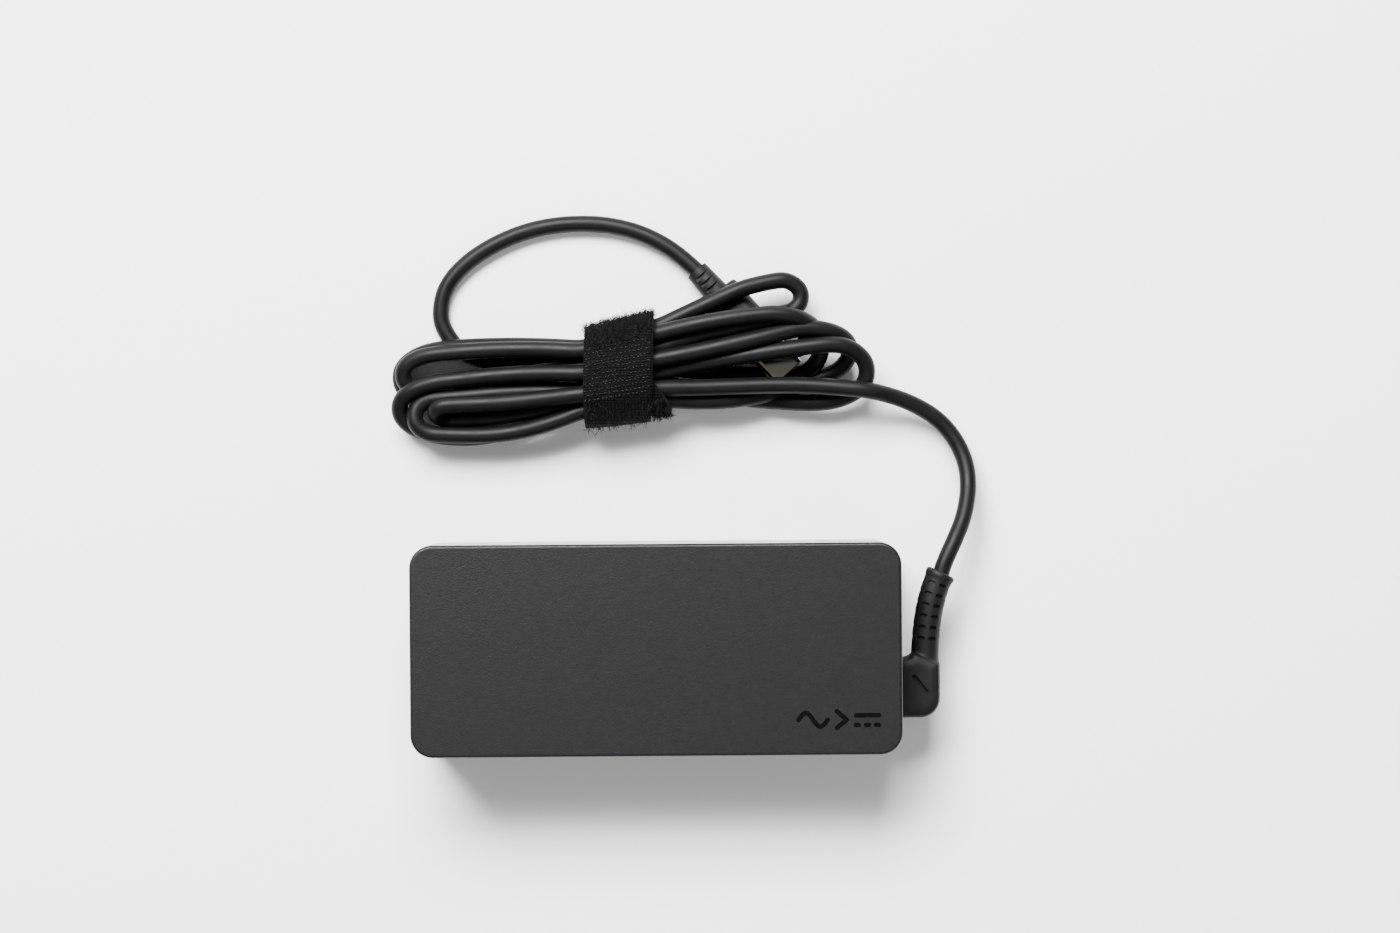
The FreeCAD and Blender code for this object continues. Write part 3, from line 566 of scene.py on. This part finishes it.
# The inner turn moves to the right on the near side, and the outer one flares towards its end.
INNER_LEFT, INNER_RIGHT, INNER_OFFSET = -14.6, -0.6, 1.1
SHIFT_START, SHIFT_SPAN, LOWER_SHIFT = 60.0, 7.0, 4.2
OUTER_LEFT, OUTER_RIGHT, OUTER_OFFSET = -15.8, -0.2, 2.2
ASKEW_START, ASKEW = 2.2, 0.9
OUTER_START, OUTER_END = -4, 73
FLARE_START, FLARE = 58, 3.2

TIE_SEED = 11
HAIR_ACROSS = Vector((0.31, 0.47, 0.83))  # a direction that no hair runs along
HAIR_TAPER = 0.5
PILE_HAIRS, PILE_RADIUS, PILE_LEAN = 2600, 0.055, 0.45
PILE_HEIGHTS = (0.3, 1.0)
PILE_SPACING = 0.9
HOOK_ROWS, HOOK_COLUMNS, HOOK_RADIUS = 13, 15, 0.085
HOOK_STRETCH = (24, 47)
HOOK_MARGIN, HOOK_MARGINS = 0.6, 2.2
HOOK_SPACING = 0.93
HOOK_LEAN, HOOK_SKEW = 0.22, 0.05

# The points of one loop of pile after its foot, and of one hook: how far up and how far over.
PILE_LOOP = [(0.6, 0.35), (1.0, 0.9), (0.55, 1.5)]
HOOK_SHAPE = [(-0.1, 0.0), (0.32, 0.0), (0.46, 0.6), (0.38, 1.3)]


def mesh_piece(name, mesh):
    """An object from a finished mesh."""
    bmesh.ops.recalc_face_normals(mesh, faces=mesh.faces)
    data = bpy.data.meshes.new(name)
    mesh.to_mesh(data)
    mesh.free()
    piece = bpy.data.objects.new(name, data)
    bpy.context.collection.objects.link(piece)
    return piece


def join_rings(mesh, rings):
    """Skin a row of rings and close its two ends."""
    for low, high in zip(rings, rings[1:]):
        for corner in range(len(low)):
            after = (corner + 1) % len(low)
            mesh.faces.new((low[corner], low[after], high[after], high[corner]))
    mesh.faces.new(rings[0][::-1])
    mesh.faces.new(rings[-1])


def strands_at(samples, x):
    """Where each pass of the cord crosses a plane across the bundle: its Y and Z."""
    crossings = []
    for here, there in zip(samples, samples[1:]):
        if (here[0] - x) * (there[0] - x) <= 0 and abs(there[0] - here[0]) > 1e-6:
            share = (x - here[0]) / (there[0] - here[0])
            crossings.append(here[1:] + (there[1:] - here[1:]) * share)
    return np.array(crossings)


def hull_at(samples, x, offset):
    """A taut outline round the strands, as evenly spaced (Y, Z) points, from the far side over the top."""
    crossings = strands_at(samples, x)
    outline = []
    for step in range(HULL_STEPS + 1):
        angle = math.tau * step / HULL_STEPS
        way = np.array([math.cos(angle), math.sin(angle)])
        outermost = crossings[np.argmax(crossings @ way)]
        outline.append(outermost + way * (CORD_RADIUS / MM + offset))
    outline = np.array(outline)
    lengths = np.linalg.norm(np.diff(outline, axis=0), axis=1)
    reach = np.concatenate([[0], np.cumsum(lengths)])
    even = np.linspace(0, reach[-1], HULL_STEPS + 1)
    rounded = np.stack([np.interp(even, reach, outline[:, axis]) for axis in (0, 1)], axis=1)
    rounded[:, 1] = np.maximum(rounded[:, 1], HULL_FLOOR)
    return rounded


def tape_mesh(name, rows, closed):
    """A tape from rows of (place, outward) pairs, one row for each step along it."""
    mesh = bmesh.new()
    outer, inner = [], []
    for row in rows:
        outer.append([mesh.verts.new(Vector(place) * MM) for place, _ in row])
    for row in rows:
        under = [Vector(place) - Vector(out) * TAPE_THICKNESS for place, out in row]
        inner.append([mesh.verts.new(place * MM) for place in under])
    count, width = len(rows), len(rows[0])
    last = count if closed else count - 1
    for step in range(last):
        after = (step + 1) % count
        top, top_after, low, low_after = outer[step], outer[after], inner[step], inner[after]
        for side in range(width - 1):
            mesh.faces.new((top[side], top[side + 1], top_after[side + 1], top_after[side]))
            mesh.faces.new((low[side], low_after[side], low_after[side + 1], low[side + 1]))
        mesh.faces.new((top[0], top_after[0], low_after[0], low[0]))
        mesh.faces.new((top[-1], low[-1], low_after[-1], top_after[-1]))
    if not closed:
        for top, low in ((outer[0], inner[0]), (outer[-1], inner[-1])):
            for side in range(width - 1):
                mesh.faces.new((top[side], low[side], low[side + 1], top[side + 1]))
    piece = mesh_piece(name, mesh)
    piece.data.shade_smooth()
    return piece


def wrap_rows(samples, left, right, offset, random, start=0, end=HULL_STEPS):
    """Places on a wrap of tape: its left and right edges can wander along it."""
    hulls = [hull_at(samples, x, offset) for x in (TIE_LEFT + HULL_INSET, TIE_RIGHT - HULL_INSET)]
    rows = []
    # Six numbers are drawn, to keep the order of draws, and three of them are used.
    bends = random.uniform(-1, 1, (3, 2))
    for step in range(start, end):
        turn = math.tau * step / HULL_STEPS
        wander = bends[0, 0] * math.sin(turn) + bends[1, 0] * math.sin(2 * turn + bends[1, 1])
        wander *= EDGE_WANDER
        row = []
        here, before, after = step % HULL_STEPS, (step - 1) % HULL_STEPS, (step + 1) % HULL_STEPS
        ways = [hull[after] - hull[before] for hull in hulls]
        for station in range(TAPE_STATIONS):
            share = station / (TAPE_STATIONS - 1)
            x = left(turn) + (right(turn) - left(turn)) * share + wander
            mix = min(max((x - TIE_LEFT) / (TIE_RIGHT - TIE_LEFT), 0), 1)
            y, z = hulls[0][here] * (1 - mix) + hulls[1][here] * mix
            along = ways[0] * (1 - mix) + ways[1] * mix
            along /= max(np.linalg.norm(along), 1e-6)
            out = (0.0, along[1], -along[0])
            cup = TAPE_CUP * (2 * share - 1) ** 2
            row.append(((x, y - out[1] * cup, max(z - out[2] * cup, TAPE_FLOOR)), out))
        rows.append(row)
    return rows


def hair_mesh(name, hairs, radius):
    """Fine bent fibres, each a three-sided tube through its points."""
    mesh = bmesh.new()
    for points in hairs:
        rings = []
        for number, point in enumerate(points):
            ahead = points[min(number + 1, len(points) - 1)] - points[max(number - 1, 0)]
            side = ahead.cross(HAIR_ACROSS).normalized()
            other = ahead.cross(side).normalized()
            width = radius * (1 - HAIR_TAPER * number / len(points))
            ring = []
            for turn in (0, math.tau / 3, 2 * math.tau / 3):
                corner = point + side * (width * math.cos(turn)) + other * (width * math.sin(turn))
                ring.append(mesh.verts.new(corner * MM))
            rings.append(ring)
        join_rings(mesh, rings)
    return mesh_piece(name, mesh)


def make_pile(name, rows, random, covers, count):
    """Loops of pile that stand on the tape wherever covers(step share, side share) is true."""
    hairs = []
    while len(hairs) < count:
        step = random.uniform(0, len(rows) - 1)
        side = random.uniform(0, TAPE_STATIONS - 1)
        weight = covers(step / (len(rows) - 1), side / (TAPE_STATIONS - 1))
        if random.uniform() > weight:
            continue
        place, out = rows[int(step)][int(side)]
        along = Vector(rows[min(int(step) + 1, len(rows) - 1)][int(side)][0]) - Vector(place)
        foot = Vector(place) + along * (step % 1) + Vector((PILE_SPACING * (side % 1), 0, 0))
        lean = Vector(random.normal(0, PILE_LEAN, 3))
        rise = Vector(out) * random.uniform(*PILE_HEIGHTS)
        hairs.append([foot, *[foot + rise * up + lean * over for up, over in PILE_LOOP]])
    return hair_mesh(name, hairs, PILE_RADIUS)


def make_hooks(rows, random, first, last):
    """A grid of little hooks moulded on the tape's outer face."""
    hooks = []
    for line in range(HOOK_ROWS):
        step = first + (last - first) * (line + 0.5) / HOOK_ROWS
        for column in range(HOOK_COLUMNS):
            share = (column + 0.5 * (line % 2)) / HOOK_COLUMNS
            side = HOOK_MARGIN + (TAPE_STATIONS - HOOK_MARGINS) * share
            place, out = rows[int(step)][int(side)]
            foot = Vector(place) + Vector((HOOK_SPACING * (side % 1), 0, 0))
            rise = Vector(out)
            lean = Vector((random.choice((-1, 1)) * HOOK_LEAN, random.normal(0, HOOK_SKEW), 0))
            hooks.append([foot + rise * up + lean * over for up, over in HOOK_SHAPE])
    return hair_mesh("tie_hooks", hooks, HOOK_RADIUS)


def tie_material(name):
    """Woven nylon: ribs across the tape, and a finer thread along them."""
    surface = Surface(name, (0.004, 0.004, 0.0043), 0.75, specular=0.06)
    weave = surface.maths("MULTIPLY", surface.wave("X", 420, 0.6), surface.wave("Y", 520, 1.2))
    fuzz = surface.noise(0.0003, 4.0)
    worn = surface.maths("MULTIPLY", weave, fuzz)
    surface.paint(surface.mix(worn, (0.0008, 0.0008, 0.0009), (0.0065, 0.0065, 0.0068)))
    surface.rough(surface.ramp(fuzz, 0.65, 0.9))
    surface.bump(weave, 0.0002)
    surface.bump(fuzz, 0.0001)
    surface.shader.inputs["Sheen Weight"].default_value = 0.01
    surface.shader.inputs["Sheen Roughness"].default_value = 0.5
    return surface.material


def fibre_material(name, colour, roughness):
    """Nylon fibre, a little lighter here and there."""
    surface = Surface(name, colour, roughness, specular=0.15)
    surface.paint(surface.mottle(0.0015, 0.5))
    surface.rough(surface.ramp(surface.noise(0.001), roughness * 0.85, roughness * 1.15))
    surface.bump(surface.noise(0.0001), 0.00001)
    return surface.material


def outer_right_edge(turn):
    """The outer turn's right edge, which runs askew on the lower side."""
    return OUTER_RIGHT - ASKEW * max(0.0, turn - ASKEW_START)


def make_tie(samples, materials):
    """Two turns of tape: an inner one whose pile shows at the lower right, and an outer one over it."""
    random = np.random.default_rng(TIE_SEED)
    inner = wrap_rows(samples, lambda turn: INNER_LEFT, lambda turn: INNER_RIGHT, INNER_OFFSET, random)
    for row in inner:
        for station, (place, out) in enumerate(row):
            shift = LOWER_SHIFT * min(1.0, max(0.0, (SHIFT_START - place[1]) / SHIFT_SPAN))
            row[station] = ((place[0] + shift, place[1], place[2]), out)
    outer = wrap_rows(samples, lambda turn: OUTER_LEFT, outer_right_edge, OUTER_OFFSET, random,
                      OUTER_START, OUTER_END)
    for step, row in enumerate(outer):
        flare = FLARE * max(0.0, (step - FLARE_START) / (len(outer) - 1 - FLARE_START)) ** 2
        for station, (place, out) in enumerate(row):
            row[station] = ((place[0], place[1] - flare, place[2]), out)
    pieces = {
        "tie_fabric": [tape_mesh("tie_inner_turn", inner, closed=True),
                       tape_mesh("tie_outer_turn", outer, closed=False)],
        "tie_pile": [make_pile("tie_pile_top", outer, random, pile_on_top, PILE_HAIRS),
                     make_pile("tie_pile_side", inner, random, pile_at_side, PILE_HAIRS // 2)],
        "tie_hooks": [make_hooks(outer, random, *HOOK_STRETCH)],
    }
    for finish, group in pieces.items():
        for piece in group:
            piece.data.materials.append(materials[finish])
            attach(piece, "root")
    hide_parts("hook_and_loop_tie")
    return [piece for group in pieces.values() for piece in group]


def pile_on_top(along, across):
    """How thick the pile stands on the outer turn: thick at the far side and thin further on."""
    return 1.0 if along < 0.28 else (0.25 if along < 0.33 else 0.05)


def pile_at_side(along, across):
    """How thick the pile stands on the inner turn: only near its right edge on the near side."""
    return 1.0 if 0.40 < along < 0.72 and across > 0.7 else 0.0


# ---------------------------------------------------------------- cord boot

# The boot, in millimetres: a block on the case's end and a sleeve that leans away as it rises.
BOOT_HEIGHT = 13.0
BLOCK_LEFT, BLOCK_RIGHT, BLOCK_NEAR, BLOCK_FAR = 53.95, 63.3, -16.35, -2.6
BLOCK_HALF_HEIGHT, BLOCK_CORNER = 4.2, 4.4
# The block's rounded upper and lower edges: how far each level is from its face, and the inset.
BLOCK_EDGES = [(0.0, -1.9), (0.44, -0.44), (1.9, 0)]
SLEEVE_AXIS = [(60.0, -8.0), (60.1, -3.0), (60.3, 1.5), (60.9, 6.9), (62.2, 11.5), (63.9, 16.1)]
SLEEVE_RADIUS, RIM_RADIUS, RIM_LENGTH = 3.12, 3.38, 1.5
RIM_EDGE = 0.3
SLEEVE_RINGS, RING_SIDES = 60, 40
LENGTH_STEPS = 50
SLOT_ROWS, SLOT_FIRST, SLOT_PITCH = 6, 2.9, 2.45
SLOT_SIZE = (1.8, 0.9, 1.3)
SLOT_TURNS = (0, 66, 114, 180, 246, 294)
DROP_START, DROP_END, DROP_WIDTH, DROP_DEPTH = (57.1, -6.7), (60.4, -10.7), 1.0, 1.1
BOOT_VOXEL = 0.24
SMOOTHING, SMOOTH_ROUNDS = 0.6, 14
SHARP_ANGLE = math.radians(40)


def sleeve_axis(share):
    """A place on the sleeve's middle line and the way it runs there."""
    points = np.array(SLEEVE_AXIS)
    reach = np.linspace(0, 1, len(points))
    fit = [np.polyfit(reach, points[:, axis], 3) for axis in (0, 1)]
    place = Vector((np.polyval(fit[0], share), np.polyval(fit[1], share), BOOT_HEIGHT))
    way = Vector((np.polyval(np.polyder(fit[0]), share), np.polyval(np.polyder(fit[1]), share), 0))
    return place, way


def add_ring(mesh, place, way, radius):
    """A circle of vertices square to the sleeve's middle line."""
    side = way.cross(Vector((0, 0, 1))).normalized()
    ring = []
    for corner in range(RING_SIDES):
        turn = math.tau * corner / RING_SIDES
        out = side * (radius * math.cos(turn)) + Vector((0, 0, radius * math.sin(turn)))
        ring.append(mesh.verts.new(place + out))
    return ring


def block_outline():
    """The block's outline from above, with its free corner rounded."""
    centre = Vector((BLOCK_RIGHT - BLOCK_CORNER, BLOCK_NEAR + BLOCK_CORNER))
    corner = [centre + Vector((math.sin(math.radians(turn)), -math.cos(math.radians(turn)))) * BLOCK_CORNER
              for turn in range(0, 91, 10)]
    return [(BLOCK_LEFT, BLOCK_NEAR), *[tuple(point) for point in corner],
            (BLOCK_RIGHT, BLOCK_FAR - 1.5), (BLOCK_LEFT + 3.6, BLOCK_FAR + 0.9),
            (BLOCK_LEFT + 2.2, BLOCK_FAR - 0.1), (BLOCK_LEFT, BLOCK_FAR - 0.6)]


def applied(piece):
    """Turn a piece's modifiers into plain mesh."""
    graph = bpy.context.evaluated_depsgraph_get()
    data = bpy.data.meshes.new_from_object(piece.evaluated_get(graph))
    piece.modifiers.clear()
    piece.data = data


def slot_block(mesh, middle, along, across, outward, size):
    """A slot's room: a bar with rounded ends, seen from outside."""
    long, short, deep = (part / 2 for part in size)
    rings = []
    for level in (-deep, deep):
        ring = []
        for degrees in range(15, 375, 30):
            turn = math.radians(degrees)
            spread = math.copysign(long - short, math.cos(turn))
            ring.append(mesh.verts.new(middle + outward * level
                                       + across * (spread + short * math.cos(turn))
                                       + along * (short * math.sin(turn))))
        rings.append(ring)
    join_rings(mesh, rings)


def add_sleeve(mesh):
    """The sleeve, with a rim at its end."""
    rings = []
    for number in range(SLEEVE_RINGS + 1):
        place, way = sleeve_axis(number / SLEEVE_RINGS)
        from_end = (sleeve_axis(1)[0] - place).length
        radius = RIM_RADIUS if from_end < RIM_LENGTH else SLEEVE_RADIUS
        if from_end < RIM_EDGE:
            radius -= RIM_EDGE
        rings.append(add_ring(mesh, place, way, radius))
    join_rings(mesh, rings)


def add_block(mesh):
    """The block, with rounded edges on the sides that stand clear of the case."""
    levels = [(edge - BLOCK_HALF_HEIGHT, inset) for edge, inset in BLOCK_EDGES]
    levels += [(BLOCK_HALF_HEIGHT - edge, inset) for edge, inset in reversed(BLOCK_EDGES)]
    middle = Vector(((BLOCK_LEFT + BLOCK_RIGHT) / 2, (BLOCK_NEAR + BLOCK_FAR) / 2))
    half = Vector(((BLOCK_RIGHT - BLOCK_LEFT) / 2, (BLOCK_FAR - BLOCK_NEAR) / 2))
    rings = []
    for level, inset in levels:
        ring = []
        for x, y in block_outline():
            on_case = x < BLOCK_LEFT + 0.1
            shrunk_x = x if on_case else middle.x + (x - middle.x) * (1 + inset / half.x)
            shrunk_y = middle.y + (y - middle.y) * (1 + inset / half.y)
            ring.append(mesh.verts.new((shrunk_x, shrunk_y, BOOT_HEIGHT + level)))
        rings.append(ring)
    join_rings(mesh, rings)


def slot_rooms():
    """What is cut out of the boot: rows of slots round the sleeve, and a groove in the block's top."""
    mesh = bmesh.new()
    up = Vector((0, 0, 1))
    places = [sleeve_axis(step / LENGTH_STEPS)[0] for step in range(LENGTH_STEPS + 1)]
    length = sum((there - here).length for here, there in zip(places, places[1:]))
    for row in range(SLOT_ROWS):
        place, way = sleeve_axis(1 - (SLOT_FIRST + SLOT_PITCH * row) / length)
        along = way.normalized()
        side = along.cross(up)
        for degrees in SLOT_TURNS:
            turn = math.radians(degrees)
            outward = side * math.cos(turn) + up * math.sin(turn)
            middle = place + outward * SLEEVE_RADIUS
            slot_block(mesh, middle, along, along.cross(outward), outward, SLOT_SIZE)
    start, end = Vector((*DROP_START, 0)), Vector((*DROP_END, 0))
    top = Vector((0, 0, BOOT_HEIGHT + BLOCK_HALF_HEIGHT))
    across = (end - start).normalized()
    size = ((end - start).length, DROP_WIDTH, 2 * DROP_DEPTH)
    slot_block(mesh, (start + end) / 2 + top, across.cross(up), across, up, size)
    return mesh_piece("boot_cutter", mesh)


def make_boot(material):
    """The sleeve and block run into one skin, with the slots cut out of it."""
    mesh = bmesh.new()
    add_sleeve(mesh)
    add_block(mesh)
    boot = mesh_piece("boot", mesh)
    remesh = boot.modifiers.new("remesh", "REMESH")
    remesh.mode = "VOXEL"
    remesh.voxel_size = BOOT_VOXEL
    smooth = boot.modifiers.new("smooth", "SMOOTH")
    smooth.factor = SMOOTHING
    smooth.iterations = SMOOTH_ROUNDS
    applied(boot)
    cutter = slot_rooms()
    boolean = boot.modifiers.new("slots", "BOOLEAN")
    boolean.operation = "DIFFERENCE"
    boolean.object = cutter
    applied(boot)
    bpy.data.objects.remove(cutter)
    boot.data.transform(Matrix.Scale(MM, 4))
    boot.data.shade_smooth()
    boot.data.set_sharp_from_angle(angle=SHARP_ANGLE)
    boot.data.materials.clear()
    boot.data.materials.append(material)
    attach(boot, "root")
    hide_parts("cord_boot")
    return boot


# ---------------------------------------------------------------- build

# The record's material slots: how each finish is made, and with what colour, roughness, size of
# grain, depth of grain, share of mottling and specular level, or the stretch of its brushing.
FINISHES = {
    "case_bottom": (case_material,),
    "case_top": (case_material, CASE_HEIGHT),
    "label": (moulded, (0.004, 0.004, 0.0043), 0.3, 0.0002, 0.000005, 0.1, 0.15),
    "inlet_plastic": (moulded, (0.004, 0.004, 0.004), 0.42, 0.0003, 0.00002, 0.08, 0.15),
    "pin_metal": (brushed, (0.78, 0.74, 0.66), 0.28, (1, 12, 12)),
    "spreader_metal": (brushed, (0.82, 0.82, 0.83), 0.34, (1, 14, 1)),
    "insulating_film": (moulded, (0.75, 0.62, 0.30), 0.22, 0.003, 0.00004, 0.05),
    "circuit_board": (moulded, (0.02, 0.11, 0.05), 0.3, 0.0006, 0.00003, 0.25),
    "yellow_plastic": (moulded, (0.72, 0.55, 0.08), 0.4),
    "chip_plastic": (moulded, (0.02, 0.02, 0.022), 0.6, 0.0002),
    "heatsink_metal": (brushed, (0.80, 0.80, 0.81), 0.38, (12, 1, 1)),
    "disc_coating": (moulded, (0.05, 0.16, 0.42), 0.35, 0.0008, 0.00006),
    "ferrite": (moulded, (0.05, 0.048, 0.05), 0.62, 0.0003, 0.00004, 0.2),
    "capacitor_can": (moulded, (0.03, 0.05, 0.14), 0.25, 0.002, 0.00003, 0.1),
    "copper_wire": (wound, (0.75, 0.28, 0.12), 0.0006),
    "winding_tape": (moulded, (0.78, 0.62, 0.10), 0.3, 0.0015, 0.00005),
    "boot_rubber": (rubber_material,),
    # The plug shell is nickel, but its colour is set darker than nickel: painted shade for the dark
    # reflections of the cords over it.
    "plug_metal": (brushed, (0.30, 0.285, 0.24), 0.12, (10, 10, 1)),
    "tongue_plastic": (moulded, (0.006, 0.006, 0.006), 0.45, 0.0003, 0.00002, 0.08, 0.15),
    "contact_metal": (brushed, (0.95, 0.72, 0.35), 0.2, (1, 8, 8)),
    "cord_jacket": (cord_material,),
    "tie_fabric": (tie_material,),
}


def finish_cad_nodes(materials):
    """Give each CAD node the material of the slot that the record names for it."""
    for row in frame["record"]["subparts"]:
        node = frame["nodes"][row["node"]]
        node.data.materials.clear()
        node.data.materials.append(materials[row["material_slot"]])


def build_cord(materials):
    """The cord in place of its CAD solids."""
    cord, cord_exit, samples = make_cord()
    cord.data.materials.append(materials["cord_jacket"])
    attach(cord, "root")
    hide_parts("cord_free_run", "cord_tail", "cord_hank")
    return cord, cord_exit, samples


def make_floor():
    """The sheet that the adapter lies on, which isn't part of it."""
    mesh = bpy.data.meshes.new("floor")
    signs = ((-1, -1), (1, -1), (1, 1), (-1, 1))
    mesh.from_pydata([(x * FLOOR_REACH, y * FLOOR_REACH, 0) for x, y in signs], [], [(0, 1, 2, 3)])
    floor = bpy.data.objects.new("floor", mesh)
    bpy.context.collection.objects.link(floor)
    floor.data.materials.append(floor_material())


materials = {slot: make(slot, *values) for slot, (make, *values) in FINISHES.items()}
materials["tie_pile"] = fibre_material("tie_pile", (0.0022, 0.0022, 0.0023), 0.75)
materials["tie_hooks"] = fibre_material("tie_hooks", (0.035, 0.035, 0.036), 0.45)
make_camera()
finish_cad_nodes(materials)
cord, cord_exit, samples = build_cord(materials)
tie_pieces = make_tie(samples, materials)
round(spline_length(cord), 3)
make_boot(materials["boot_rubber"])
make_floor()
light_scene()
